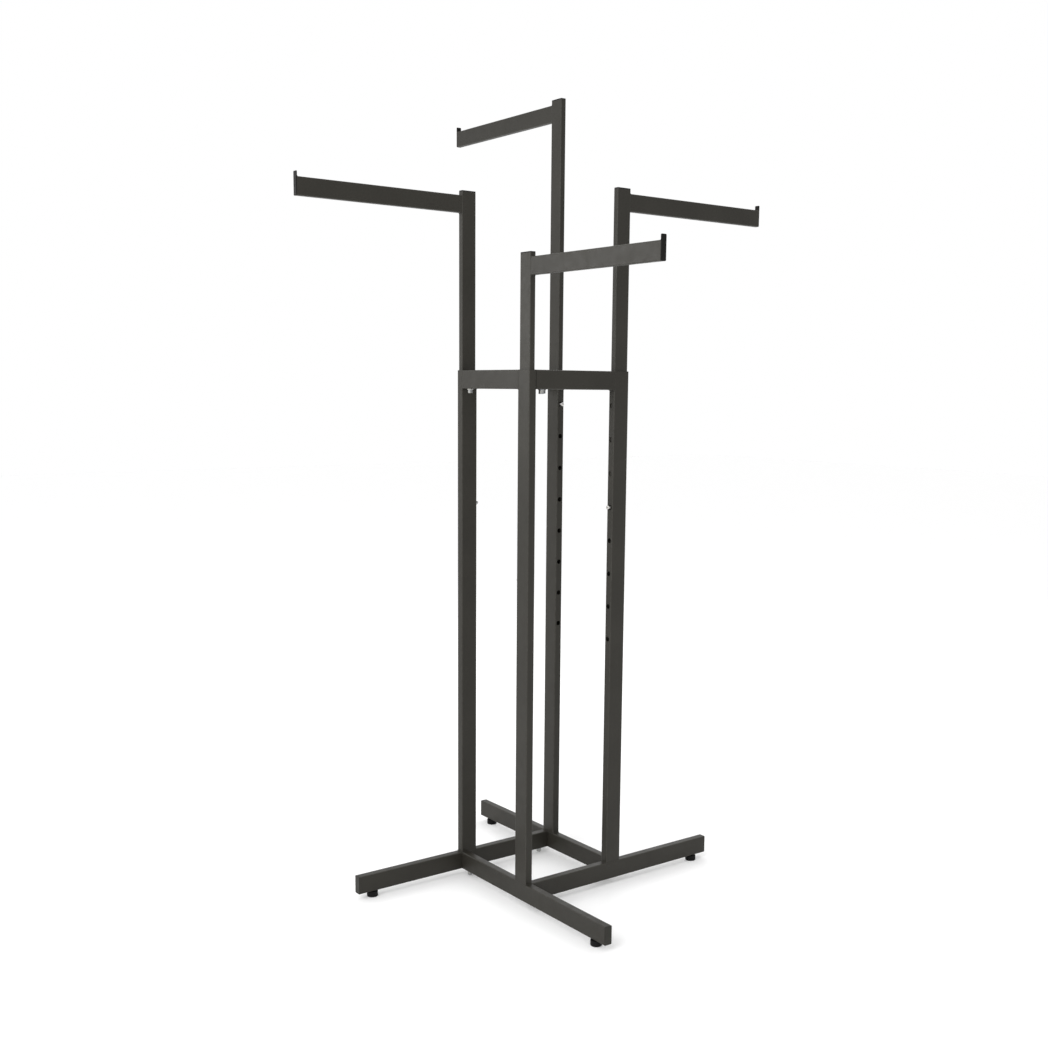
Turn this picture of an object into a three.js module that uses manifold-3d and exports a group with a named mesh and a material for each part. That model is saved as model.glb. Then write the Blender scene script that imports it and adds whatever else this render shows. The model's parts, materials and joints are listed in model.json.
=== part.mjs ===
// Four way clothing rack: four identical leg, upright and top rail frames bolted into a pinwheel,
// each holding a telescoping mast with a straight hanging arm.
// Millimetres, +Z up. The origin is on the floor at the centre of the base.

import * as THREE from "three";
import { mergeVertices } from "three/addons/utils/BufferGeometryUtils.js";
import Module from "manifold-3d";

const wasm = await Module();
wasm.setup();

// ---------------------------------------------------------------- driving dimensions

const INCH = 25.4;
const STEEL_WALL = 1.5;

// Rectangular tubes: depth is the long side of the section, width the short side.
const FRAME_TUBE = { depth: 41.5, width: 19, corner: 2.5 }; // legs, outer uprights and top rails
const MAST_TUBE = { depth: 37, width: 14, corner: 2 }; // slides inside the outer upright
const ARM_TUBE = { depth: 1.5 * INCH, width: 0.5 * INCH, corner: 2 }; // the hanging arm

const BASE_SIDE = 278; // across the outer faces of the square of uprights
const LEG_REACH = 420; // from the rack's centre to a leg's tip
const LEG_UNDERSIDE = 14; // above the floor
const UPRIGHT_TOP = 1203;
const BUTT_GAP = 0.5; // where a bolted leg or rail meets its neighbour

const HOLE_PITCH = 3 * INCH;
const HOLE_COUNT = 8;
const UPRIGHT_HOLE_RADIUS = 5.5;

const MAST_ABOVE_BUTTON = 702; // button axis to the mast's top
const MAST_BELOW_BUTTON = 66; // button axis to the mast's lower end
const MAST_HOLE_RADIUS = 5.15;
const ARM_BELOW_TOP = 11; // top of the arm below the mast's top
const ARM_REACH = 543; // from the rack's centre to the stop plate's outer face
const STOP_THICKNESS = 2.5;
const STOP_CORNER = 2;

const CAP_THICKNESS = 2;
const PLUG_DEPTH = 10;
const PLUG_CLEARANCE = 0.3; // to each inner wall

const CONNECTOR_LENGTH = 35;
const CONNECTOR_BOLT_INSET = 20; // bolt axis from the neighbour's face
const FOOT_INSET = 39.5; // foot axis from the leg's tip

const PAD = { radius: 12.7, height: 12.5, bevel: 1.7 };
const STUD = { radius: 3.9, top: 40.8, bevel: 0.8 };
const FOOT_NUT = { acrossFlats: 13, height: 6.5, hole: 4.1 };
const BOLT = { acrossFlats: 10, headHeight: 10, flange: 7, flangeHeight: 1.5, shank: 2.9, length: 12 };
const CONNECTOR_NUT = { acrossFlats: 10, height: 5, hole: 3.1 };
const FOOT_HOLE_RADIUS = 4.5;
const BOLT_HOLE_RADIUS = 3.5;
const DRILL_LENGTH = 3 * STEEL_WALL; // through one wall, with room on both of its sides

const BUTTON = { radius: 4.75, proud: 8, dome: 2.5 };
const CLIP = { thickness: 0.8, width: 10, wallGap: 0.5, bend: 9.9, aboveButton: 9, legLength: 44, rearTop: 6 };

// Which hole each mast's button sits in, counted from the top.
const UNITS = [
  { letter: "a", hole: 5 },
  { letter: "b", hole: 3 },
  { letter: "c", hole: 0 },
  { letter: "d", hole: 3 },
];

// A flat shape's arcs are drawn with twice this many chords, and a turned piece with this many sides.
const CORNER_DIVISIONS = 1;
const BEND_DIVISIONS = 4;
const HOLE_DIVISIONS = 8;
const ROUND_SIDES = 16;

// ---------------------------------------------------------------- derived places

// One unit's own frame: +X is the way its leg and arm point, and the unit stands on its line y = SIDE.
const SIDE = -(BASE_SIDE - FRAME_TUBE.width) / 2;
const UPRIGHT_X = (BASE_SIDE - FRAME_TUBE.depth) / 2;
const INNER_FACE_X = UPRIGHT_X - FRAME_TUBE.depth / 2;
const NEIGHBOUR_FACE_X = -(BASE_SIDE / 2 - FRAME_TUBE.width);
const LEG_TOP = LEG_UNDERSIDE + FRAME_TUBE.depth;
const LEG_CENTRE_Z = LEG_UNDERSIDE + FRAME_TUBE.depth / 2;
const RAIL_CENTRE_Z = UPRIGHT_TOP - FRAME_TUBE.depth / 2;
const RAIL_UNDERSIDE = UPRIGHT_TOP - FRAME_TUBE.depth;
const TOP_HOLE_Z = UPRIGHT_TOP - HOLE_PITCH;
const FREE_END_X = NEIGHBOUR_FACE_X + BUTT_GAP;
const BOLT_X = NEIGHBOUR_FACE_X + CONNECTOR_BOLT_INSET;
const FOOT_X = LEG_REACH - FOOT_INSET;

// ---------------------------------------------------------------- materials

const darkPaint = () => new THREE.MeshStandardMaterial({ color: 0x3f3f3b, roughness: 0.55, metalness: 0.35 });
const blackPaint = () => new THREE.MeshStandardMaterial({ color: 0x1b1b1a, roughness: 0.55, metalness: 0.35 });
const charcoalPlastic = () => new THREE.MeshStandardMaterial({ color: 0x3b3b38, roughness: 0.6, metalness: 0 });
const blackPlastic = () => new THREE.MeshStandardMaterial({ color: 0x151515, roughness: 0.6, metalness: 0 });
const zincSteel = () => new THREE.MeshStandardMaterial({ color: 0xb9bcc0, roughness: 0.35, metalness: 0.95 });

// ---------------------------------------------------------------- shapes

// Draws a rounded rectangle, centred, on a Shape or on the Path of a hole.
function roundedRectangle(path, sizeX, sizeY, radius) {
  const x = sizeX / 2 - radius;
  const y = sizeY / 2 - radius;
  path.moveTo(x + radius, -y);
  path.absarc(x, y, radius, 0, Math.PI / 2, false);
  path.absarc(-x, y, radius, Math.PI / 2, Math.PI, false);
  path.absarc(-x, -y, radius, Math.PI, 1.5 * Math.PI, false);
  path.absarc(x, -y, radius, 1.5 * Math.PI, 2 * Math.PI, false);
  path.closePath();
  return path;
}

function extrude(shape, length, curveSegments = CORNER_DIVISIONS) {
  return new THREE.ExtrudeGeometry(shape, { depth: length, bevelEnabled: false, curveSegments });
}

// A tube of the section along +Z from 0, with its depth along X and its width along Y.
function tubeGeometry({ depth, width, corner }, length) {
  const shape = roundedRectangle(new THREE.Shape(), depth, width, corner);
  const inside = 2 * STEEL_WALL;
  shape.holes.push(roundedRectangle(new THREE.Path(), depth - inside, width - inside, corner - STEEL_WALL));
  return extrude(shape, length);
}

// The same tube lying along +X from 0, with its depth upright.
function lyingTubeGeometry(section, length) {
  return tubeGeometry(section, length).rotateY(Math.PI / 2);
}

function hexagon(acrossFlats) {
  const radius = acrossFlats / Math.sqrt(3);
  const corners = [...Array(6).keys()].map((i) => (i * Math.PI) / 3);
  return new THREE.Shape(corners.map((a) => new THREE.Vector2(radius * Math.cos(a), radius * Math.sin(a))));
}

// A hexagon nut standing on z = 0.
function nutGeometry({ acrossFlats, height, hole }) {
  const shape = hexagon(acrossFlats);
  shape.holes.push(new THREE.Path().absarc(0, 0, hole, 0, 2 * Math.PI, true));
  return extrude(shape, height, HOLE_DIVISIONS);
}

function lathe(profile) {
  const points = profile.map(([r, z]) => new THREE.Vector2(r, z));
  return new THREE.LatheGeometry(points, ROUND_SIDES).rotateX(Math.PI / 2);
}

// A cylinder along an axis ("x" or "z") centred on a wall, used to drill it.
function drill(axis, radius, x, y, z) {
  const cylinder = new THREE.CylinderGeometry(radius, radius, DRILL_LENGTH, ROUND_SIDES);
  if (axis === "x") cylinder.rotateZ(Math.PI / 2);
  if (axis === "z") cylinder.rotateX(Math.PI / 2);
  return cylinder.translate(x, y, z);
}

// ---------------------------------------------------------------- booleans

function solidOf(geometry) {
  const bare = geometry.clone();
  bare.deleteAttribute("normal");
  bare.deleteAttribute("uv");
  const merged = mergeVertices(bare, 1e-4);
  return new wasm.Manifold(
    new wasm.Mesh({
      numProp: 3,
      vertProperties: merged.attributes.position.array,
      triVerts: new Uint32Array(merged.index.array),
    }),
  );
}

function geometryOf(solid) {
  const { numProp, vertProperties, triVerts } = solid.getMesh();
  const positions = new Float32Array((vertProperties.length / numProp) * 3);
  for (let i = 0; i < positions.length / 3; i++) {
    positions.set(vertProperties.subarray(i * numProp, i * numProp + 3), i * 3);
  }
  const indexed = new THREE.BufferGeometry();
  indexed.setAttribute("position", new THREE.BufferAttribute(positions, 3));
  indexed.setIndex(new THREE.BufferAttribute(triVerts, 1));
  const faceted = indexed.toNonIndexed();
  faceted.computeVertexNormals();
  return faceted;
}

function joined(...geometries) {
  return geometryOf(geometries.map(solidOf).reduce((whole, next) => whole.add(next)));
}

function cut(geometry, ...tools) {
  return geometryOf(tools.map(solidOf).reduce((whole, tool) => whole.subtract(tool), solidOf(geometry)));
}

// ---------------------------------------------------------------- pieces of one bolted frame

function legGeometry() {
  const length = LEG_REACH - CAP_THICKNESS - FREE_END_X;
  const floor = -FRAME_TUBE.depth / 2;
  return cut(
    lyingTubeGeometry(FRAME_TUBE, length),
    drill("z", BOLT_HOLE_RADIUS, BOLT_X - FREE_END_X, 0, floor),
    drill("z", FOOT_HOLE_RADIUS, FOOT_X - FREE_END_X, 0, floor),
  );
}

function uprightGeometry() {
  const face = -FRAME_TUBE.depth / 2;
  const holes = [...Array(HOLE_COUNT).keys()].map((i) =>
    drill("x", UPRIGHT_HOLE_RADIUS, face, 0, TOP_HOLE_Z - LEG_TOP - i * HOLE_PITCH),
  );
  return cut(tubeGeometry(FRAME_TUBE, UPRIGHT_TOP - LEG_TOP), ...holes);
}

function railGeometry() {
  return cut(
    lyingTubeGeometry(FRAME_TUBE, INNER_FACE_X - FREE_END_X),
    drill("z", BOLT_HOLE_RADIUS, BOLT_X - FREE_END_X, 0, -FRAME_TUBE.depth / 2),
  );
}

// A closing cap: a plate on z = 0 facing up, with a plug below it that fills the tube's mouth.
function capGeometry({ depth, width, corner }) {
  const inside = 2 * (STEEL_WALL + PLUG_CLEARANCE);
  const plate = extrude(roundedRectangle(new THREE.Shape(), depth, width, corner), CAP_THICKNESS);
  const plugShape = roundedRectangle(new THREE.Shape(), depth - inside, width - inside, corner - STEEL_WALL);
  const plug = extrude(plugShape, PLUG_DEPTH + CAP_THICKNESS / 2).translate(0, 0, -PLUG_DEPTH);
  return joined(plate, plug);
}

// A stub of mast tube with a nut welded inside its lower wall, for a bolt from below.
function connectorGeometry() {
  const stub = lyingTubeGeometry(MAST_TUBE, CONNECTOR_LENGTH);
  const lowerWall = -MAST_TUBE.depth / 2;
  const bolt = drill("z", CONNECTOR_NUT.hole, CONNECTOR_BOLT_INSET, 0, lowerWall);
  const weldOverlap = STEEL_WALL / 10;
  const nutZ = lowerWall + STEEL_WALL - weldOverlap;
  const nut = nutGeometry(CONNECTOR_NUT).translate(CONNECTOR_BOLT_INSET, 0, nutZ);
  return joined(cut(stub, bolt), nut);
}

// A flanged hexagon bolt pointing up, with the seat of its flange at z = 0.
function boltGeometry() {
  const head = extrude(hexagon(BOLT.acrossFlats), BOLT.headHeight).translate(0, 0, -BOLT.headHeight);
  const body = lathe([
    [0, -BOLT.flangeHeight],
    [BOLT.flange, -BOLT.flangeHeight],
    [BOLT.flange, 0],
    [BOLT.shank, 0],
    [BOLT.shank, BOLT.length],
    [0, BOLT.length],
  ]);
  return joined(body, head);
}

// The levelling foot, standing on z = 0: a plastic pad moulded on a steel stud.
function footGeometry() {
  return lathe([
    [0, 0],
    [PAD.radius - PAD.bevel, 0],
    [PAD.radius, PAD.bevel],
    [PAD.radius, PAD.height - PAD.bevel / 2],
    [PAD.radius - PAD.bevel / 2, PAD.height],
    [STUD.radius, PAD.height],
    [STUD.radius, STUD.top - STUD.bevel],
    [STUD.radius - STUD.bevel, STUD.top],
    [0, STUD.top],
  ]);
}

// ---------------------------------------------------------------- pieces of one mast

// All of these are in the mast's own frame: the origin is the centre of the mast's top.

function mastGeometry() {
  const length = MAST_ABOVE_BUTTON + MAST_BELOW_BUTTON - CAP_THICKNESS;
  const tube = tubeGeometry(MAST_TUBE, length).translate(0, 0, -CAP_THICKNESS - length);
  return cut(tube, drill("x", MAST_HOLE_RADIUS, -MAST_TUBE.depth / 2, 0, -MAST_ABOVE_BUTTON));
}

function armLength() {
  return ARM_REACH - STOP_THICKNESS - UPRIGHT_X - MAST_TUBE.depth / 2;
}

// A plate across the arm's end that stands above the arm, so that hangers can't slide off.
function stopGeometry() {
  const height = ARM_BELOW_TOP + ARM_TUBE.depth;
  const shape = roundedRectangle(new THREE.Shape(), height, ARM_TUBE.width, STOP_CORNER);
  return extrude(shape, STOP_THICKNESS).rotateY(Math.PI / 2).translate(0, 0, -height / 2);
}

// The snap button and its spring clip are one piece: a steel button riveted to a folded leaf.
// The origin is on the button's axis, in the mast's centre plane, and the button points along -X.
function snapButtonGeometry() {
  const front = -(MAST_TUBE.depth / 2 - STEEL_WALL - CLIP.wallGap);
  const back = front + CLIP.thickness;
  const bendX = back + CLIP.bend;
  const outerBend = CLIP.bend + CLIP.thickness;
  const leaf = new THREE.Shape();
  leaf.moveTo(front, CLIP.aboveButton);
  leaf.lineTo(front, -CLIP.legLength);
  leaf.absarc(bendX, -CLIP.legLength, outerBend, Math.PI, 2 * Math.PI, false);
  leaf.lineTo(bendX + outerBend, -CLIP.rearTop);
  leaf.lineTo(bendX + CLIP.bend, -CLIP.rearTop);
  leaf.lineTo(bendX + CLIP.bend, -CLIP.legLength);
  leaf.absarc(bendX, -CLIP.legLength, CLIP.bend, 2 * Math.PI, Math.PI, true);
  leaf.lineTo(back, CLIP.aboveButton);
  leaf.closePath();
  const strip = extrude(leaf, CLIP.width, BEND_DIVISIONS)
    .translate(0, 0, -CLIP.width / 2)
    .rotateX(Math.PI / 2);

  const tip = UPRIGHT_X - INNER_FACE_X + BUTTON.proud;
  const root = -(front + back) / 2;
  const domeSteps = [1, 2, 3].map((i) => (i * Math.PI) / 6);
  const dome = domeSteps.map((a) => [
    BUTTON.radius - BUTTON.dome * (1 - Math.cos(a)),
    tip - BUTTON.dome * (1 - Math.sin(a)),
  ]);
  const head = lathe([[0, root], [BUTTON.radius, root], [BUTTON.radius, tip - BUTTON.dome], ...dome, [0, tip]]);
  head.rotateY(-Math.PI / 2);
  return joined(strip, head);
}

// ---------------------------------------------------------------- assembly

const shared = {
  leg: legGeometry(),
  legCap: capGeometry(FRAME_TUBE).rotateY(Math.PI / 2),
  upright: uprightGeometry(),
  rail: railGeometry(),
  connector: connectorGeometry(),
  bolt: boltGeometry(),
  footNut: nutGeometry(FOOT_NUT),
  foot: footGeometry(),
  mast: mastGeometry(),
  mastCap: capGeometry(MAST_TUBE),
  arm: lyingTubeGeometry(ARM_TUBE, armLength()),
  stop: stopGeometry(),
  snapButton: snapButtonGeometry(),
};

function addMesh(group, name, geometry, material, x, y, z) {
  const mesh = new THREE.Mesh(geometry, material);
  mesh.name = name;
  mesh.position.set(x, y, z);
  group.add(mesh);
}

function mastGroup(letter, mastTop) {
  const mast = new THREE.Group();
  mast.position.set(UPRIGHT_X, SIDE, mastTop);
  const armX = MAST_TUBE.depth / 2;
  addMesh(mast, `inner_upright_${letter}`, shared.mast, darkPaint(), 0, 0, 0);
  addMesh(mast, `upright_cap_${letter}`, shared.mastCap, blackPlastic(), 0, 0, -CAP_THICKNESS);
  addMesh(mast, `hanging_arm_${letter}`, shared.arm, darkPaint(), armX, 0, -ARM_BELOW_TOP - ARM_TUBE.depth / 2);
  addMesh(mast, `arm_stop_${letter}`, shared.stop, blackPaint(), armX + armLength(), 0, 0);
  addMesh(mast, `snap_button_${letter}`, shared.snapButton, zincSteel(), 0, 0, -MAST_ABOVE_BUTTON);
  return mast;
}

function unitGroup({ letter, hole }, turn) {
  const unit = new THREE.Group();
  unit.rotation.z = turn;
  const legEnd = LEG_REACH - CAP_THICKNESS;
  addMesh(unit, `leg_${letter}`, shared.leg, darkPaint(), FREE_END_X, SIDE, LEG_CENTRE_Z);
  addMesh(unit, `leg_end_cap_${letter}`, shared.legCap, charcoalPlastic(), legEnd, SIDE, LEG_CENTRE_Z);
  addMesh(unit, `outer_upright_${letter}`, shared.upright, darkPaint(), UPRIGHT_X, SIDE, LEG_TOP);
  addMesh(unit, `top_rail_${letter}`, shared.rail, darkPaint(), FREE_END_X, SIDE, RAIL_CENTRE_Z);
  addMesh(unit, `rail_connector_${letter}`, shared.connector, darkPaint(), NEIGHBOUR_FACE_X, SIDE, RAIL_CENTRE_Z);
  addMesh(unit, `base_connector_${letter}`, shared.connector, darkPaint(), NEIGHBOUR_FACE_X, SIDE, LEG_CENTRE_Z);
  addMesh(unit, `rail_bolt_${letter}`, shared.bolt, zincSteel(), BOLT_X, SIDE, RAIL_UNDERSIDE);
  addMesh(unit, `base_bolt_${letter}`, shared.bolt, zincSteel(), BOLT_X, SIDE, LEG_UNDERSIDE);
  addMesh(unit, `foot_nut_${letter}`, shared.footNut, zincSteel(), FOOT_X, SIDE, LEG_UNDERSIDE + STEEL_WALL);
  addMesh(unit, `levelling_foot_${letter}`, shared.foot, blackPlastic(), FOOT_X, SIDE, 0);
  unit.add(mastGroup(letter, TOP_HOLE_Z - hole * HOLE_PITCH + MAST_ABOVE_BUTTON));
  return unit;
}

// Unit a points along -Y, and each next one is a quarter turn clockwise seen from above.
const rack = new THREE.Group();
UNITS.forEach((unit, i) => rack.add(unitGroup(unit, (-(i + 1) * Math.PI) / 2)));

export default rack;
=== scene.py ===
import json
import math

import bmesh
import bpy
from mathutils import Matrix, Vector

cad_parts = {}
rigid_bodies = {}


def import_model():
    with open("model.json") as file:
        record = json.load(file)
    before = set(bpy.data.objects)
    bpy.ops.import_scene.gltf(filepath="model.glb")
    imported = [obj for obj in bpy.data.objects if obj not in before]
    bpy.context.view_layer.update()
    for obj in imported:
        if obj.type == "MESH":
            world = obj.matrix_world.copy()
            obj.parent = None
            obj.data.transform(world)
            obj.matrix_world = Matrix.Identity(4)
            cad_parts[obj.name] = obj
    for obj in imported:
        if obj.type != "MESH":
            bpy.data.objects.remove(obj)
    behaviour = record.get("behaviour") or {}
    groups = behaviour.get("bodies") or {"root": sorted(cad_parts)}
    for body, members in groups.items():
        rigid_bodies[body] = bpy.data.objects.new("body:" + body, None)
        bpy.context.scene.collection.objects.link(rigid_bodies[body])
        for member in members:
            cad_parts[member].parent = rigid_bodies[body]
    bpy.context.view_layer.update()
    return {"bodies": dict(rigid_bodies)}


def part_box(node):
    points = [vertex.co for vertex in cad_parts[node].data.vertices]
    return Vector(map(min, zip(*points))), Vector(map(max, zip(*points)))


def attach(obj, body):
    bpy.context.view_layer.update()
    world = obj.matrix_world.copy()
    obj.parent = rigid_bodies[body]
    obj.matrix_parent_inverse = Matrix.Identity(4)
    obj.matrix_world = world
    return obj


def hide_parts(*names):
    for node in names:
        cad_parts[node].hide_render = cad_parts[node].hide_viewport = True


# The look of a four way clothing rack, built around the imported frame. Metres, +Z up.
# Each of the four units is built in its own frame, where +X is the way its leg and arm point,
# and is then turned into place.

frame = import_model()

MM = 0.001

# ---------------------------------------------------------------- driving sizes

STEEL_WALL = 1.5 * MM
FRAME_CORNER = 2.5 * MM  # legs, outer uprights and top rails
MAST_CORNER = 2.0 * MM  # masts, arms, connector stubs and stop plates
CUT_EDGE = 0.3 * MM  # the small chamfer left on a sawn tube end
SHARPEST_CORNER = 0.05 * MM
CORNER_SEGMENTS = 8

HOLE_PITCH = 76.2 * MM
HOLE_COUNT = 8
UPRIGHT_HOLE_RADIUS = 5.5 * MM
MAST_HOLE_RADIUS = 5.15 * MM
BOLT_HOLE_RADIUS = 3.5 * MM
FOOT_HOLE_RADIUS = 4.5 * MM
HOLE_CHAMFER = 0.4 * MM
HOLE_SEGMENTS = 48

CAP_THICKNESS = 2 * MM
CAP_EDGE = 0.9 * MM
PLUG_INSET = STEEL_WALL + 0.3 * MM
PLUG_RIB = 0.25 * MM  # how far a rib stands out of its plug
PLUG_RIBS = 3
STOP_EDGE = 0.6 * MM

CONNECTOR_NUT = {"across": 10 * MM, "height": 5 * MM, "hole": 3.1 * MM, "pitch": 1.0 * MM}
FOOT_NUT = {"across": 13 * MM, "height": 6.5 * MM, "hole": 4.1 * MM, "pitch": 1.25 * MM}
BOLT = {"across": 10 * MM, "head": 10 * MM, "flange": 7 * MM, "shank": 2.9 * MM, "pitch": 1.0 * MM}
HEXAGON_CHAMFER_DEGREES = 30
THREAD_DEPTH = 0.45 * MM
THREAD_STEPS = 8  # rings drawn for each turn of a thread
ROUND_SEGMENTS = 48

PAD = {"radius": 12.7 * MM, "height": 12.5 * MM, "edge": 1.7 * MM, "top_edge": 0.8 * MM}
PAD_SEGMENTS = 72
STUD_RADIUS = 3.9 * MM
STUD_SEGMENTS = 36

BUTTON = {"radius": 4.75 * MM, "dome": 2.5 * MM, "rivet": 2.2 * MM}
BUTTON_SEAT_GAP = 0.5 * MM  # between the mast's wall and the leaf, with the button out
LEAF = {
    "thickness": 0.8 * MM,
    "width": 10 * MM,
    "bend": 10.3 * MM,  # radius of the fold's middle line
    "above": 9 * MM,  # how far the front leg goes on above the button's axis
    "leg": 44 * MM,  # from the button's axis down to the fold
    "rear": 6 * MM,  # how far below the button's axis the rear leg ends
    "edge": 0.25 * MM,
    "end_narrowing": 3 * MM,
}

WELD_RADIUS = 1.7 * MM
WELD_FLUSH = 0.25 * MM  # how far a ground weld stands out of the face
WELD_RIPPLE = 2.4 * MM  # from one ripple to the next
WELD_RIPPLE_STEPS = 4  # rings drawn for each ripple
WELD_DEPTH = 1.2 * MM  # into the wall that it is laid on
WELD_SEGMENTS = 14

# How far round a corner a vertex is: the paint lightens there, partly as thinner paint and partly as a
# painted highlight.
EDGE_WEAR_AND_HIGHLIGHT = "edge_wear_and_highlight"  # the mesh attribute that the paint reads
SHARP_DEGREES = 32  # faces that meet at a larger angle keep a hard edge

X_AXIS, Y_AXIS, Z_AXIS = Vector((1, 0, 0)), Vector((0, 1, 0)), Vector((0, 0, 1))
ALONG_X, ALONG_Z = 0, 2  # which way a tube or plate runs in its unit's frame
CROSS_AXES = {ALONG_X: (1, 2), ALONG_Z: (0, 1)}

# Unit a points along -Y, and each next one is a quarter turn clockwise seen from above.
LETTERS = "abcd"
TURNS = {letter: Matrix.Rotation(-(i + 1) * math.pi / 2, 4, "Z") for i, letter in enumerate(LETTERS)}


def local_box(name, letter):
    """A CAD node's lowest and highest corners in its unit's own frame."""
    back = TURNS[letter].inverted()
    one, two = (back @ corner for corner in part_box(f"{name}_{letter}"))
    return Vector(map(min, one, two)), Vector(map(max, one, two))


# ---------------------------------------------------------------- mesh building


def skin(rings, closed=False):
    """Vertices and faces over rings of equal length. An open stack gets a flat face at each end."""
    count = len(rings[0])
    vertices = [point for ring in rings for point in ring]
    steps = len(rings) if closed else len(rings) - 1
    faces = []
    for level in range(steps):
        here = level * count
        there = (level + 1) % len(rings) * count
        for i in range(count):
            j = (i + 1) % count
            faces.append((here + i, here + j, there + j, there + i))
    if not closed:
        faces.append(tuple(reversed(range(count))))
        faces.append(tuple(range(steps * count, (steps + 1) * count)))
    return vertices, faces


def joined(*parts):
    """Several (vertices, faces) as one."""
    vertices, faces = [], []
    for part_vertices, part_faces in parts:
        start = len(vertices)
        vertices += part_vertices
        faces += [tuple(start + i for i in face) for face in part_faces]
    return vertices, faces


def moved(part, matrix):
    """(vertices, faces) put through a matrix."""
    vertices, faces = part
    return [matrix @ Vector(v) for v in vertices], faces


def mesh_of(name, part):
    """A Blender mesh with outward faces."""
    mesh = bpy.data.meshes.new(name)
    vertices, faces = part
    mesh.from_pydata(vertices, [], faces)
    work = bmesh.new()
    work.from_mesh(mesh)
    bmesh.ops.recalc_face_normals(work, faces=work.faces)
    work.to_mesh(mesh)
    work.free()
    return mesh


def cut(mesh, tools):
    """The mesh with the tools' volume taken out."""
    scene = bpy.context.scene.collection
    body = bpy.data.objects.new("body", mesh)
    tool = bpy.data.objects.new("tool", mesh_of("tool", joined(*tools)))
    scene.objects.link(body)
    scene.objects.link(tool)
    difference = body.modifiers.new("cut", "BOOLEAN")
    difference.operation = "DIFFERENCE"
    difference.solver = "EXACT"
    difference.object = tool
    graph = bpy.context.evaluated_depsgraph_get()
    made = bpy.data.meshes.new_from_object(body.evaluated_get(graph), depsgraph=graph)
    bpy.data.objects.remove(body)
    bpy.data.objects.remove(tool)
    return made


def rounded_rectangle(size_u, size_v, corner):
    """Points round a centred rectangle, counter-clockwise."""
    points = []
    for quarter, (sign_u, sign_v) in enumerate(((1, 1), (-1, 1), (-1, -1), (1, -1))):
        centre_u = sign_u * (size_u / 2 - corner)
        centre_v = sign_v * (size_v / 2 - corner)
        for step in range(CORNER_SEGMENTS + 1):
            angle = (quarter + step / CORNER_SEGMENTS) * math.pi / 2
            points.append((centre_u + corner * math.cos(angle), centre_v + corner * math.sin(angle)))
    return points


def section_rings(lo, hi, axis, corner, stations):
    """Rounded rectangles across a box, one for each (place along the axis, inset from the box)."""
    u, v = CROSS_AXES[axis]
    centre = (lo + hi) / 2
    size_u, size_v = hi[u] - lo[u], hi[v] - lo[v]
    rings = []
    for along, inset in stations:
        ring_corner = max(corner - inset, SHARPEST_CORNER)
        ring = []
        for a, b in rounded_rectangle(size_u - 2 * inset, size_v - 2 * inset, ring_corner):
            point = centre.copy()
            point[axis] = along
            point[u] += a
            point[v] += b
            ring.append(point)
        rings.append(ring)
    return rings


def tube(lo, hi, axis, corner):
    """A rectangular tube that fills a box, open at both ends, with its sawn edges broken."""
    start, end = lo[axis], hi[axis]
    inner = STEEL_WALL
    stations = [
        (start + CUT_EDGE, 0),
        (end - CUT_EDGE, 0),
        (end, CUT_EDGE),
        (end, inner - CUT_EDGE),
        (end - CUT_EDGE, inner),
        (start + CUT_EDGE, inner),
        (start, inner - CUT_EDGE),
        (start, CUT_EDGE),
    ]
    return skin(section_rings(lo, hi, axis, corner, stations), closed=True)


def rounded_edge(along, outward, radius, steps=4):
    """(along, inset) stations from the side round to an end face, for an edge of that radius."""
    stations = []
    for step in range(steps + 1):
        angle = step / steps * math.pi / 2
        stations.append((along + outward * radius * (math.sin(angle) - 1), radius * (1 - math.cos(angle))))
    return stations


def plate(lo, hi, axis, corner, edge):
    """A solid rounded plate that fills a box, with both rims rounded over."""
    start, end = lo[axis], hi[axis]
    stations = list(reversed(rounded_edge(start, -1, edge))) + rounded_edge(end, 1, edge)
    return skin(section_rings(lo, hi, axis, corner, stations))


def closing_cap(lo, hi, axis, corner):
    """A moulded cap: its plate is the last stretch of the box, and a ribbed plug fills the rest."""
    seat = hi[axis] - CAP_THICKNESS
    rib_spacing = (seat - lo[axis]) / PLUG_RIBS
    foot_share, crest_share = 0.25, 0.55  # where a rib's slope starts and ends, in spacings
    core = PLUG_INSET + PLUG_RIB
    stations = [(lo[axis], core + PLUG_RIB)]
    for rib in range(PLUG_RIBS):
        foot = lo[axis] + rib_spacing * (rib + foot_share)
        crest = lo[axis] + rib_spacing * (rib + crest_share)
        stations += [(foot, core), (crest, PLUG_INSET), (crest + PLUG_RIB, core)]
    stations.append((seat, core))
    stations.append((seat, CUT_EDGE))
    stations.append((seat + CUT_EDGE, 0))
    stations += rounded_edge(hi[axis], 1, CAP_EDGE)
    return skin(section_rings(lo, hi, axis, corner, stations))


def revolved(levels, segments=ROUND_SEGMENTS, closed=False):
    """A solid round the Z axis. A level is (radius, z), and a radius may be a function of the angle."""
    rings = []
    for radius, z in levels:
        ring = []
        for i in range(segments):
            angle = 2 * math.pi * i / segments
            r = radius(angle) if callable(radius) else radius
            ring.append(Vector((r * math.cos(angle), r * math.sin(angle), z)))
        rings.append(ring)
    return skin(rings, closed)


def hexagon_radius(across, limit):
    """The radius of a hexagon at an angle, turned down to a limit at its corners."""

    def radius(angle):
        from_flat = (angle + math.pi / 6) % (math.pi / 3) - math.pi / 6
        return min(across / 2 / math.cos(from_flat), limit)

    return radius


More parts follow.
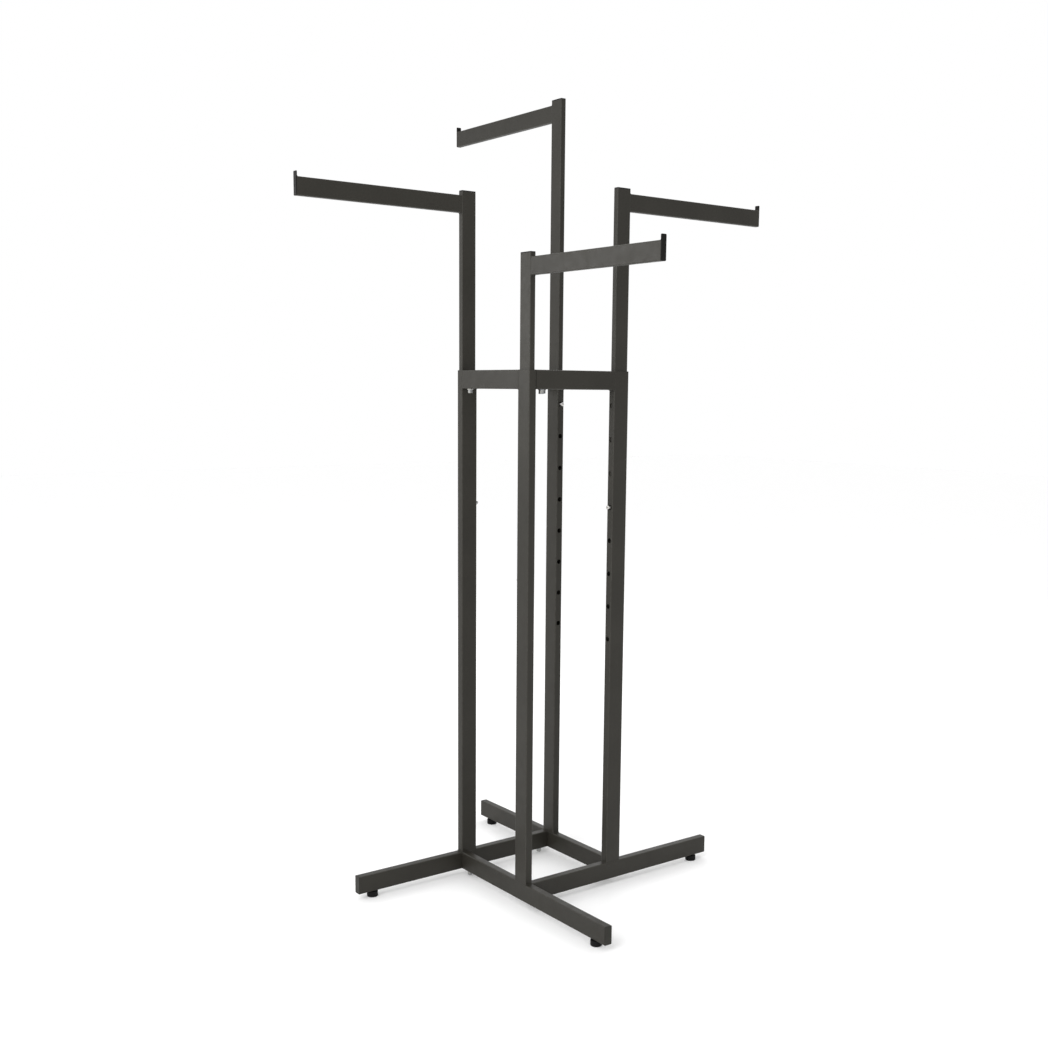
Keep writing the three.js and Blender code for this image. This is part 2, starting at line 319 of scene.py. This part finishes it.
def hexagon_levels(across, low, high, high_chamfer=True):
    """Levels of a hexagon with its corners turned down to a cone at its low end, or at both ends."""
    corner = across / math.sqrt(3)
    least = 0.96 * across / 2  # the end face is a circle, a little smaller than the flats
    rise = (corner - least) * math.tan(math.radians(HEXAGON_CHAMFER_DEGREES))
    steps = 5
    cone = []
    for step in range(steps + 1):
        share = step / steps
        cone.append((hexagon_radius(across, least + share * (corner - least)), share * rise))
    levels = [(radius, low + height) for radius, height in cone]
    if high_chamfer:
        levels += [(radius, high - height) for radius, height in reversed(cone)]
    else:
        levels.append((hexagon_radius(across, corner), high))
    return levels


def thread_levels(radius, pitch, low, high, depth, fade):
    """Levels of a right-handed thread. It grows from a plain round over its first turn, and tapers to a
    cone over `fade` at its far end. The depth is outward, as in a nut, and less than 0 for a screw."""
    count = round((high - low) / pitch * THREAD_STEPS)
    levels = []
    for step in range(count + 1):
        z = low + (high - low) * step / count
        growth = min(1, (z - low) / pitch)
        taper = 1 - min(1, (high - z) / fade) if fade else 0

        def radius_at(angle, z=z, growth=growth, taper=taper):
            wave = (1 - math.cos(2 * math.pi * z / pitch - angle)) / 2
            return radius + depth * wave * growth - abs(depth) * taper

        levels.append((radius_at, z))
    return levels


def nut(across, height, hole, pitch):
    """A hexagon nut standing on z = 0 with a threaded hole."""
    mouth = hole + THREAD_DEPTH
    inside = thread_levels(hole, pitch, THREAD_DEPTH, height - THREAD_DEPTH, THREAD_DEPTH, 0)
    levels = hexagon_levels(across, 0, height)
    levels.append((mouth, height))
    levels += list(reversed(inside))
    levels.append((mouth, 0))
    return revolved(levels, closed=True)


def flanged_bolt(length):
    """A flanged hexagon bolt pointing up, with the seat of its flange at z = 0."""
    flange, shank = BOLT["flange"], BOLT["shank"]
    skirt = 2.4 * MM  # height of the flange's cone
    skirt_radius = 0.86 * flange
    rim = 1.0 * MM
    soft = 0.2 * MM
    levels = hexagon_levels(BOLT["across"], -BOLT["head"], -skirt, high_chamfer=False)
    levels += [
        (skirt_radius, -skirt),
        (flange - soft, -rim - soft),
        (flange, -rim),
        (flange, -soft),
        (flange - soft, 0),
        (shank + soft, 0),
    ]
    levels += thread_levels(shank, BOLT["pitch"], soft, length, -THREAD_DEPTH, BOLT["pitch"])
    return revolved(levels)


def foot_pad():
    """The moulded pad, standing on z = 0, with a fine parting line round its middle."""
    radius, height = PAD["radius"], PAD["height"]
    groove = 0.15 * MM
    middle = height / 2
    levels = [(radius - inset, z) for z, inset in reversed(rounded_edge(0, -1, PAD["edge"], 6))]
    levels += [(radius, middle - groove), (radius - groove, middle), (radius, middle + groove)]
    levels += [(radius - inset, z) for z, inset in rounded_edge(height, 1, PAD["top_edge"])]
    return revolved(levels, PAD_SEGMENTS)


def stud(low, high):
    """The foot's threaded stud."""
    pitch = FOOT_NUT["pitch"]
    plain = 0.1 * MM  # the bit below the thread
    levels = [(STUD_RADIUS - THREAD_DEPTH, low)]
    levels += thread_levels(STUD_RADIUS, pitch, low + plain, high, -THREAD_DEPTH, pitch)
    return revolved(levels, STUD_SEGMENTS)


def button(length):
    """The button standing on z = 0 with a domed tip, and the rivet head behind its leaf."""
    radius, dome, rivet = BUTTON["radius"], BUTTON["dome"], BUTTON["rivet"]
    behind = LEAF["thickness"]
    rivet_face, rivet_shoulder = 0.7 * MM, 0.4 * MM
    levels = [
        (0.55 * rivet, -behind - rivet_face),
        (0.9 * rivet, -behind - rivet_shoulder),
        (rivet, -behind),
        (rivet, 0),
        (radius - CUT_EDGE, 0),
        (radius, CUT_EDGE),
    ]
    levels += [(radius - inset, z) for z, inset in rounded_edge(length, 1, dome, 8)]
    return revolved(levels)


def leaf_path():
    """The leaf's middle line as (x, z) from the button's axis: down, round the bend and up behind."""
    bend, leg = LEAF["bend"], LEAF["leg"]
    leg_steps, bend_steps = 4, 16
    down = [-leg * step / leg_steps for step in range(leg_steps)]
    points = [(0, LEAF["above"]), (0, LEAF["above"] / 3)]
    points += [(0, z) for z in down]
    for step in range(bend_steps + 1):
        angle = math.pi * (1 + step / bend_steps)
        points.append((bend + bend * math.cos(angle), -leg + bend * math.sin(angle)))
    points += [(2 * bend, z) for z in reversed(down[1:])]
    points.append((2 * bend, -LEAF["rear"]))
    return points


def spring_leaf():
    """The folded leaf in its squeezed shape, with the middle of its front leg on x = 0."""
    path = [Vector((x, 0, z)) for x, z in leaf_path()]
    last = len(path) - 1
    shoulders = {0: 0.25, last - 1: 0.8}  # where the full width starts and ends, as shares of a step
    rings = []

    def add_ring(middle, through, width):
        outline = rounded_rectangle(width, LEAF["thickness"], LEAF["edge"])
        rings.append([middle + Y_AXIS * a + through * b for a, b in outline])

    for i, point in enumerate(path):
        before = path[max(i - 1, 0)]
        after = path[min(i + 1, last)]
        through = (after - before).normalized().cross(Y_AXIS)
        narrowing = LEAF["end_narrowing"] if i in (0, last) else 0
        add_ring(point, through, LEAF["width"] - narrowing)
        if i in shoulders:
            add_ring(point.lerp(after, shoulders[i]), through, LEAF["width"])
    return skin(rings)


def divided(outline, pitch, steps):
    """Even points along a closed outline: a whole number of pitches of about that length, each in steps."""
    nexts = outline[1:] + outline[:1]
    lengths = [(after - point).length for point, after in zip(outline, nexts)]
    total = sum(lengths)
    count = round(total / pitch) * steps
    points = []
    for step in range(count):
        distance = step / count * total
        i = 0
        while distance > lengths[i]:
            distance -= lengths[i]
            i += 1
        points.append(outline[i].lerp(nexts[i], distance / lengths[i]))
    return points


def weld_loop(centre, u_axis, v_axis, size_u, size_v, corner, fillet):
    """A weld run round a rounded rectangle, standing up on the side that u cross v points to. `fillet`
    says how much of a fillet it is where it faces a direction, from 0, ground flush, to 1."""
    normal = u_axis.cross(v_axis)
    relief, ground_relief = 0.05, 0.015  # how high ripples stand, as shares of the run's radius
    skew = 0.35  # half the lag from a ripple's crest to its sides, in ripples
    straight = Vector((size_u / 2 - corner, size_v / 2 - corner))
    outline = [Vector(point) for point in rounded_rectangle(size_u, size_v, corner)]
    run = divided(outline, WELD_RIPPLE, WELD_RIPPLE_STEPS)
    rings = []
    for step, point in enumerate(run):
        core = Vector(max(-limit, min(limit, place)) for limit, place in zip(straight, point))
        out_2d = (point - core).normalized()
        outward = u_axis * out_2d.x + v_axis * out_2d.y
        share = fillet(outward)
        inset = (1 - share) * (WELD_RADIUS - WELD_FLUSH)
        middle = centre + u_axis * point.x + v_axis * point.y - outward * inset
        ring = []
        for k in range(WELD_SEGMENTS):
            angle = 2 * math.pi * k / WELD_SEGMENTS
            phase = step / WELD_RIPPLE_STEPS + skew * math.cos(2 * angle)
            radius = WELD_RADIUS * (1 + (relief * share + ground_relief) * math.sin(2 * math.pi * phase))
            side = radius * math.cos(angle)
            rise = max(radius * math.sin(angle), -WELD_DEPTH)
            ring.append(middle + outward * side + normal * rise)
        rings.append(ring)
    return skin(rings, closed=True)


def turn_from_z(direction):
    """The turn that takes what stands up on +Z to a direction."""
    return Z_AXIS.rotation_difference(direction).to_matrix().to_4x4()


def hole_tool(position, direction, radius):
    """A drill through a wall whose outer face is at the position, with both rims chamfered."""
    reach = 1 * MM  # past either face of the wall
    wide = radius + HOLE_CHAMFER + reach
    levels = [
        (wide, -reach),
        (radius, HOLE_CHAMFER),
        (radius, STEEL_WALL - HOLE_CHAMFER),
        (wide, STEEL_WALL + reach),
    ]
    return moved(revolved(levels, HOLE_SEGMENTS), Matrix.Translation(position) @ turn_from_z(direction))


def mark_edges(mesh, lo, hi, axis, corner):
    """Stores how far each vertex is round a tube's corner, where the paint is lighter: partly thinner
    paint, partly a painted highlight.
    """
    u, v = CROSS_AXES[axis]
    centre = (lo + hi) / 2
    reach = 1.001 * corner  # a little over, for rounding errors
    values = []
    for vertex in mesh.vertices:
        from_u = (hi[u] - lo[u]) / 2 - abs(vertex.co[u] - centre[u])
        from_v = (hi[v] - lo[v]) / 2 - abs(vertex.co[v] - centre[v])
        at_corner = max(from_u, from_v) <= reach
        values.append(1 - abs(from_u - from_v) / corner if at_corner else 0)
    mesh.attributes.new(EDGE_WEAR_AND_HIGHLIGHT, "FLOAT", "POINT").data.foreach_set("value", values)


# ---------------------------------------------------------------- materials

# A mix node's inputs and output for each kind of value. They share their names, so they go by number.
MIX_NUMBERS, MIXED_NUMBER = (2, 3), 0
MIX_COLOURS, MIXED_COLOUR = (6, 7), 2


def new_material(name):
    material = bpy.data.materials.new(name)
    material.use_nodes = True
    return material, material.node_tree, material.node_tree.nodes["Principled BSDF"]


def add(tree, kind, inputs=None, **settings):
    """A node with its settings, and its inputs set to a value or linked to a socket."""
    made = tree.nodes.new(kind)
    for key, value in settings.items():
        setattr(made, key, value)
    for key, value in (inputs or {}).items():
        if isinstance(value, bpy.types.NodeSocket):
            tree.links.new(value, made.inputs[key])
        else:
            made.inputs[key].default_value = value
    return made


def object_place(tree):
    """Where a point is in the rack's own metres."""
    return add(tree, "ShaderNodeTexCoord").outputs["Object"]


def noise(tree, coordinates, scale, detail=2, roughness=0.5):
    inputs = {"Vector": coordinates, "Scale": scale, "Detail": detail, "Roughness": roughness}
    return add(tree, "ShaderNodeTexNoise", inputs).outputs["Fac"]


def ranged(tree, value, old, new):
    """A value mapped from its old (low, high) to a new one, and held at the ends."""
    inputs = {"Value": value, "From Min": old[0], "From Max": old[1], "To Min": new[0], "To Max": new[1]}
    return add(tree, "ShaderNodeMapRange", inputs).outputs["Result"]


def maths(tree, operation, a, b):
    return add(tree, "ShaderNodeMath", {0: a, 1: b}, operation=operation).outputs[0]


def blended(tree, factor, one, two):
    """A colour from one to two."""
    made = add(tree, "ShaderNodeMix", {0: factor}, data_type="RGBA")
    for number, value in zip(MIX_COLOURS, (one, two)):
        if isinstance(value, bpy.types.NodeSocket):
            tree.links.new(value, made.inputs[number])
        else:
            made.inputs[number].default_value = (*value, 1)
    return made.outputs[MIXED_COLOUR]


def bumped(tree, height, distance, normal=None):
    inputs = {"Height": height, "Distance": distance, "Strength": 1}
    if normal is not None:
        inputs["Normal"] = normal
    return add(tree, "ShaderNodeBump", inputs).outputs["Normal"]


def linked(tree, shader, **sockets):
    """Sets or links a shader's inputs, whose names have _ for each space."""
    for name, value in sockets.items():
        socket = shader.inputs[name.replace("_", " ")]
        if isinstance(value, bpy.types.NodeSocket):
            tree.links.new(value, socket)
        else:
            socket.default_value = value


def powder_coat(name, dark, light, fleck_colour, thin_and_highlight_colour, shine):
    """Satin powder coat: orange peel, a fine fleck, slow drifts of tone, and lighter at corners, partly
    from thinner paint and partly as a painted highlight.
    """
    material, tree, shader = new_material(name)
    place = object_place(tree)
    drift = noise(tree, place, scale=9, detail=3)
    peel = noise(tree, place, scale=650, roughness=0.45)
    fleck = noise(tree, place, scale=3600, detail=1, roughness=0.6)
    corner = add(tree, "ShaderNodeAttribute", attribute_name=EDGE_WEAR_AND_HIGHLIGHT).outputs["Fac"]
    patchy = ranged(tree, noise(tree, place, scale=160, detail=3), (0.35, 0.7), (0.35, 1))
    wear_and_highlight = maths(tree, "MULTIPLY", corner, patchy)
    base = blended(tree, ranged(tree, drift, (0.3, 0.7), (0, 1)), dark, light)
    flecked = blended(tree, ranged(tree, fleck, (0.6, 0.72), (0, 0.5)), base, fleck_colour)
    # Corners lighten towards the thin colour: partly thinner paint, partly a painted highlight along the
    # rounded edges.
    colour = blended(tree, maths(tree, "MULTIPLY", wear_and_highlight, 0.4), flecked, thin_and_highlight_colour)
    roughness = ranged(tree, noise(tree, place, scale=45, detail=4), (0.3, 0.7), (0.4, 0.5))
    fine = bumped(tree, fleck, 0.004 * MM)
    normal = bumped(tree, peel, 0.03 * MM, fine)
    linked(tree, shader, Base_Color=colour, Roughness=roughness, Normal=normal)
    linked(tree, shader, Specular_IOR_Level=shine)
    return material


def moulded_plastic(name, dark, light, roughness, shine):
    """Moulded plastic with a fine spark-eroded grain and a little rubbed dust."""
    material, tree, shader = new_material(name)
    place = object_place(tree)
    tone = ranged(tree, noise(tree, place, scale=60, detail=4), (0.3, 0.75), (0, 1))
    grain = noise(tree, place, scale=2200)
    smears = noise(tree, place, scale=380, detail=5, roughness=0.65)
    rubbed = ranged(tree, smears, (0.58, 0.75), (0, 0.35))
    dust = tuple(2.2 * channel for channel in light)
    colour = blended(tree, rubbed, blended(tree, tone, dark, light), dust)
    rough = ranged(tree, grain, (0.3, 0.7), (roughness - 0.06, roughness + 0.08))
    normal = bumped(tree, grain, 0.012 * MM)
    linked(tree, shader, Base_Color=colour, Roughness=rough, Normal=normal)
    linked(tree, shader, Specular_IOR_Level=shine)
    return material


def plated_steel(name, cool, warm, roughness, streak):
    """Plated steel: bright, slightly mottled, with fine streaks along its own length."""
    material, tree, shader = new_material(name)
    place = object_place(tree)
    stretched = add(tree, "ShaderNodeMapping", {"Vector": place, "Scale": (1, 1, 0.08)}).outputs["Vector"]
    mottle = noise(tree, place, scale=240, detail=4, roughness=0.6)
    streaks = noise(tree, stretched, scale=2600)
    colour = blended(tree, ranged(tree, mottle, (0.35, 0.65), (0, 1)), cool, warm)
    worn = ranged(tree, mottle, (0.3, 0.7), (roughness - 0.07, roughness + 0.1))
    rough = maths(tree, "ADD", worn, ranged(tree, streaks, (0.3, 0.7), (-streak, streak)))
    normal = bumped(tree, streaks, 0.006 * MM)
    linked(tree, shader, Base_Color=colour, Roughness=rough, Normal=normal, Metallic=1.0)
    return material


def studio_paper():
    """Plain white paper with the faintest tooth, which glows a little so that it meets the white behind."""
    material, tree, shader = new_material("studio_paper")
    place = object_place(tree)
    tone = noise(tree, place, scale=3)
    colour = blended(tree, tone, (0.93, 0.93, 0.93), (0.95, 0.95, 0.95))
    normal = bumped(tree, noise(tree, place, scale=900), 0.02 * MM)
    linked(tree, shader, Base_Color=colour, Roughness=0.9, Normal=normal, Specular_IOR_Level=0.1)
    linked(tree, shader, Emission_Color=(1, 1, 1, 1), Emission_Strength=0.06)
    return material


# The finish of each of the record's material slots.
FINISHES = {
    "frame_paint": (
        powder_coat,
        {
            "dark": (0.0216, 0.0198, 0.0157),
            "light": (0.0266, 0.0245, 0.0195),
            "fleck_colour": (0.055, 0.053, 0.046),
            # Lighter colour at the corners: thinner paint and a painted highlight.
            "thin_and_highlight_colour": (0.1, 0.098, 0.088),
            "shine": 0.22,
        },
    ),
    "stop_paint": (
        powder_coat,
        {
            "dark": (0.005, 0.0047, 0.0042),
            "light": (0.007, 0.0066, 0.006),
            # Lighter colour at the corners: thinner paint and a painted highlight.
            "fleck_colour": (0.016, 0.015, 0.013),
            "thin_and_highlight_colour": (0.03, 0.029, 0.026),
            "shine": 0.08,
        },
    ),
    "charcoal_plastic": (
        moulded_plastic,
        {"dark": (0.02, 0.019, 0.0155), "light": (0.026, 0.025, 0.02), "roughness": 0.5, "shine": 0.2},
    ),
    "black_plastic": (
        moulded_plastic,
        {"dark": (0.004, 0.004, 0.004), "light": (0.007, 0.007, 0.007), "roughness": 0.45, "shine": 0.1},
    ),
    "zinc_steel": (
        plated_steel,
        {"cool": (0.3, 0.315, 0.34), "warm": (0.38, 0.37, 0.33), "roughness": 0.28, "streak": 0.05},
    ),
    "button_steel": (
        plated_steel,
        {"cool": (0.5, 0.5, 0.52), "warm": (0.57, 0.55, 0.51), "roughness": 0.22, "streak": 0.03},
    ),
}
MATERIALS = {slot: make(slot, **look) for slot, (make, look) in FINISHES.items()}

# ---------------------------------------------------------------- pieces


def add_piece(name, letter, mesh, body, slot, node=None):
    """Turns a unit's mesh into place as a piece that rides on a body, and may stand for a CAD node."""
    full_name = f"{name}_{letter}"
    mesh.transform(TURNS[letter])
    mesh.name = full_name
    mesh.materials.clear()
    mesh.materials.append(MATERIALS[slot])
    mesh.polygons.foreach_set("use_smooth", [True] * len(mesh.polygons))
    mesh.set_sharp_from_angle(angle=math.radians(SHARP_DEGREES))
    obj = bpy.data.objects.new(full_name, mesh)
    bpy.context.scene.collection.objects.link(obj)
    weighted = obj.modifiers.new("even_normals", "WEIGHTED_NORMAL")
    weighted.keep_sharp = True
    weighted.weight = 100
    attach(obj, body)
    if node is not None:
        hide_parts(f"{node}_{letter}")


def add_tube(name, letter, node, axis, corner, body, tools=()):
    """A painted tube in the place of a CAD node, with its holes cut by the tools."""
    lo, hi = local_box(node, letter)
    mesh = mesh_of(name, tube(lo, hi, axis, corner))
    if tools:
        mesh = cut(mesh, tools)
    mark_edges(mesh, lo, hi, axis, corner)
    add_piece(name, letter, mesh, body, "frame_paint", node)


def middle_of(name, letter):
    lo, hi = local_box(name, letter)
    return (lo + hi) / 2


def underside_tool(tube_name, other_name, letter, radius):
    """A hole in a lying tube's lower wall, on the axis of the part that goes through it."""
    spot = middle_of(other_name, letter)
    spot.z = local_box(tube_name, letter)[0].z
    return hole_tool(spot, Z_AXIS, radius)


def build_frame(letter):
    """A leg, an outer upright and a top rail with what closes and joins them."""
    body = "base_frame"
    leg_holes = [
        underside_tool("leg", "base_bolt", letter, BOLT_HOLE_RADIUS),
        underside_tool("leg", "levelling_foot", letter, FOOT_HOLE_RADIUS),
    ]
    add_tube("leg_tube", letter, "leg", ALONG_X, FRAME_CORNER, body, leg_holes)
    lo, hi = local_box("outer_upright", letter)
    side = (lo.y + hi.y) / 2
    upright_holes = []
    for i in range(HOLE_COUNT):
        spot = Vector((lo.x, side, hi.z - (i + 1) * HOLE_PITCH))
        upright_holes.append(hole_tool(spot, X_AXIS, UPRIGHT_HOLE_RADIUS))
    add_tube("upright_tube", letter, "outer_upright", ALONG_Z, FRAME_CORNER, body, upright_holes)
    rail_hole = underside_tool("top_rail", "rail_bolt", letter, BOLT_HOLE_RADIUS)
    add_tube("rail_tube", letter, "top_rail", ALONG_X, FRAME_CORNER, body, [rail_hole])

    lo, hi = local_box("leg_end_cap", letter)
    cap = mesh_of("cap", closing_cap(lo, hi, ALONG_X, FRAME_CORNER))
    add_piece("leg_tip_cap", letter, cap, body, "charcoal_plastic", "leg_end_cap")


def build_joints(letter):
    """The connector stubs of the bolted joints, with their weld nuts and bolts."""
    body = "base_frame"
    for place in ("rail", "base"):
        node, bolt_node = f"{place}_connector", f"{place}_bolt"
        bolt_hole = underside_tool(node, bolt_node, letter, BOLT_HOLE_RADIUS)
        add_tube(f"{place}_stub", letter, node, ALONG_X, MAST_CORNER, body, [bolt_hole])
        spot = middle_of(bolt_node, letter)
        inside_z = local_box(node, letter)[0].z + STEEL_WALL
        nut_place = Matrix.Translation((spot.x, spot.y, inside_z))
        weld_nut = mesh_of("nut", moved(nut(**CONNECTOR_NUT), nut_place))
        add_piece(f"{place}_stub_nut", letter, weld_nut, body, "zinc_steel")
        lo, hi = local_box(bolt_node, letter)
        seat_z = lo.z + BOLT["head"]
        bolt_place = Matrix.Translation((spot.x, spot.y, seat_z))
        bolt = mesh_of("bolt", moved(flanged_bolt(hi.z - seat_z), bolt_place))
        add_piece(f"{place}_joint_bolt", letter, bolt, body, "zinc_steel", bolt_node)


def build_foot(letter):
    """The levelling foot on its stud, and the nut welded in the leg."""
    lo, hi = local_box("levelling_foot", letter)
    spot = (lo + hi) / 2
    stand = Matrix.Translation((spot.x, spot.y, lo.z))
    body = f"foot_{letter}"
    pad = mesh_of("pad", moved(foot_pad(), stand))
    add_piece("foot_pad", letter, pad, body, "black_plastic", "levelling_foot")
    rod = mesh_of("stud", moved(stud(PAD["height"], hi.z - lo.z), stand))
    add_piece("foot_stud", letter, rod, body, "zinc_steel")
    inside_z = local_box("foot_nut", letter)[0].z
    nut_place = Matrix.Translation((spot.x, spot.y, inside_z))
    weld_nut = mesh_of("nut", moved(nut(**FOOT_NUT), nut_place))
    add_piece("leg_weld_nut", letter, weld_nut, "base_frame", "zinc_steel", "foot_nut")


def build_mast(letter):
    """The telescoping mast with its cap, arm and stop plate."""
    body = f"mast_{letter}"
    lo, hi = local_box("inner_upright", letter)
    axis_z = local_box("snap_button", letter)[1].z - LEAF["above"]
    spot = Vector((lo.x, (lo.y + hi.y) / 2, axis_z))
    button_hole = hole_tool(spot, X_AXIS, MAST_HOLE_RADIUS)
    add_tube("mast_tube", letter, "inner_upright", ALONG_Z, MAST_CORNER, body, [button_hole])
    lo, hi = local_box("upright_cap", letter)
    cap = mesh_of("cap", closing_cap(lo, hi, ALONG_Z, MAST_CORNER))
    add_piece("mast_cap", letter, cap, body, "black_plastic", "upright_cap")
    add_tube("arm_tube", letter, "hanging_arm", ALONG_X, MAST_CORNER, body)
    lo, hi = local_box("arm_stop", letter)
    stop = mesh_of("stop", plate(lo, hi, ALONG_X, MAST_CORNER, STOP_EDGE))
    mark_edges(stop, lo, hi, ALONG_X, MAST_CORNER)
    add_piece("stop_plate", letter, stop, body, "stop_paint", "arm_stop")


def build_button(letter):
    """The snap button and the folded leaf spring that it is riveted to."""
    body = f"button_{letter}"
    lo, hi = local_box("snap_button", letter)
    mast_lo = local_box("inner_upright", letter)[0]
    seat_x = mast_lo.x + STEEL_WALL + BUTTON_SEAT_GAP
    seat = Vector((seat_x, (lo.y + hi.y) / 2, hi.z - LEAF["above"]))
    inward = Matrix.Translation(seat) @ turn_from_z(-X_AXIS)
    head = mesh_of("button", moved(button(seat_x - lo.x), inward))
    add_piece("button", letter, head, body, "button_steel", "snap_button")
    middle = seat + X_AXIS * LEAF["thickness"] / 2
    leaf = mesh_of("leaf", moved(spring_leaf(), Matrix.Translation(middle)))
    add_piece("button_leaf", letter, leaf, body, "button_steel")


def build_welds(letter):
    """The weld runs of the frame and of the mast."""

    def end_loop(name, axis, at_start, fillet):
        """The run round a tube's start or end, where it meets the wall that it is welded to."""
        lo, hi = local_box(name, letter)
        centre = (lo + hi) / 2
        centre[axis] = lo[axis] if at_start else hi[axis]
        size = hi - lo
        corner = MAST_CORNER if "arm" in name else FRAME_CORNER
        if axis == ALONG_Z:
            return weld_loop(centre, X_AXIS, Y_AXIS, size.x, size.y, corner, fillet)
        if at_start:
            return weld_loop(centre, Y_AXIS, Z_AXIS, size.y, size.z, corner, fillet)
        return weld_loop(centre, Z_AXIS, Y_AXIS, size.z, size.y, corner, fillet)

    frame_runs = joined(
        end_loop("outer_upright", ALONG_Z, True, lambda out: out.x**2),
        end_loop("top_rail", ALONG_X, False, lambda out: max(0, -out.z) ** 2),
    )
    add_piece("frame_welds", letter, mesh_of("welds", frame_runs), "base_frame", "frame_paint")
    mast_runs = joined(
        end_loop("hanging_arm", ALONG_X, True, lambda out: out.z**2),
        end_loop("hanging_arm", ALONG_X, False, lambda out: max(0, out.z) ** 2),
    )
    add_piece("mast_welds", letter, mesh_of("welds", mast_runs), f"mast_{letter}", "frame_paint")


for unit in LETTERS:
    build_frame(unit)
    build_joints(unit)
    build_foot(unit)
    build_mast(unit)
    build_button(unit)
    build_welds(unit)

# ---------------------------------------------------------------- studio


def studio_floor():
    """A wide pale floor that stays under the lowest foot, however far the feet are screwed out."""
    half = 15  # metres
    corners = [(-half, -half, 0), (half, -half, 0), (half, half, 0), (-half, half, 0)]
    mesh = bpy.data.meshes.new("studio_floor")
    mesh.from_pydata(corners, [], [range(len(corners))])
    mesh.materials.append(studio_paper())
    floor = bpy.data.objects.new("studio_floor", mesh)
    bpy.context.scene.collection.objects.link(floor)
    driver = floor.driver_add("location", 2).driver
    for letter in LETTERS:
        variable = driver.variables.new()
        variable.name = letter
        variable.type = "TRANSFORMS"
        variable.targets[0].id = frame["bodies"][f"foot_{letter}"]
        variable.targets[0].transform_type = "LOC_Z"
        variable.targets[0].transform_space = "WORLD_SPACE"
    driver.expression = "min(min(a, b), min(c, d))"


def studio_sky():
    """White all round to the eye, and brighter on the side of the room that the main window is on."""
    world = bpy.data.worlds.new("studio")
    world.use_nodes = True
    tree = world.node_tree
    background = tree.nodes["Background"]
    direction = add(tree, "ShaderNodeTexCoord").outputs["Generated"]
    window = Vector((-0.75, 0.6, 0.3)).normalized()
    dim, bright = 0.74, 1.16
    product = add(tree, "ShaderNodeVectorMath", {0: direction, 1: window}, operation="DOT_PRODUCT")
    light = ranged(tree, product.outputs["Value"], (-0.9, 0.9), (dim, bright))
    camera_ray = add(tree, "ShaderNodeLightPath").outputs["Is Camera Ray"]
    lit, seen = MIX_NUMBERS
    strength = add(tree, "ShaderNodeMix", {0: camera_ray, lit: light, seen: 1.0}, data_type="FLOAT")
    tree.links.new(strength.outputs[MIXED_NUMBER], background.inputs["Strength"])
    background.inputs["Color"].default_value = (1, 1, 1, 1)
    bpy.context.scene.world = world


def soft_box(name, position, aim, size, watts, spread_degrees=180):
    """A square panel light, with a grid in front of it where its spread is narrow."""
    data = bpy.data.lights.new(name, "AREA")
    data.size = size
    data.energy = watts
    data.spread = math.radians(spread_degrees)
    lamp = bpy.data.objects.new(name, data)
    lamp.location = position
    lamp.rotation_mode = "QUATERNION"
    lamp.rotation_quaternion = (Vector(aim) - Vector(position)).to_track_quat("-Z", "Y")
    bpy.context.scene.collection.objects.link(lamp)


def studio_camera(position, yaw_degrees, pitch_degrees, roll_degrees, lens, shift):
    """A camera that looks along +Y, turned to the left by its yaw, down by its pitch and then rolled."""
    data = bpy.data.cameras.new("camera")
    data.sensor_width = 36
    data.lens = lens
    data.shift_x, data.shift_y = shift
    yaw = Matrix.Rotation(math.radians(yaw_degrees), 4, "Z")
    pitch = Matrix.Rotation(math.radians(90 - pitch_degrees), 4, "X")
    roll = Matrix.Rotation(math.radians(roll_degrees), 4, "Z")
    camera = bpy.data.objects.new("camera", data)
    camera.matrix_world = Matrix.Translation(position) @ yaw @ pitch @ roll
    bpy.context.scene.collection.objects.link(camera)
    bpy.context.scene.camera = camera


studio_floor()
studio_sky()
soft_box("key_panel", position=(-3.2, -1.2, 2.6), aim=(0, 0, 0.8), size=2.2, watts=60)
soft_box(
    "side_panel",
    position=(-1.5, 0.95, 1.45),
    aim=(-0.13, -0.35, 1.35),
    size=0.6,
    watts=0.6,
    spread_degrees=45,
)
soft_box("back_panel", position=(2.4, 2.2, 2.8), aim=(0, 0, 0.7), size=1.8, watts=22)
studio_camera(
    position=(-1.7725, -2.3584, 1.1613),
    yaw_degrees=-36.993,
    pitch_degrees=8.729,
    roll_degrees=0.54,
    lens=44.05,
    shift=(-0.017, 0.0595),
)
bpy.context.scene.view_settings.view_transform = "Standard"
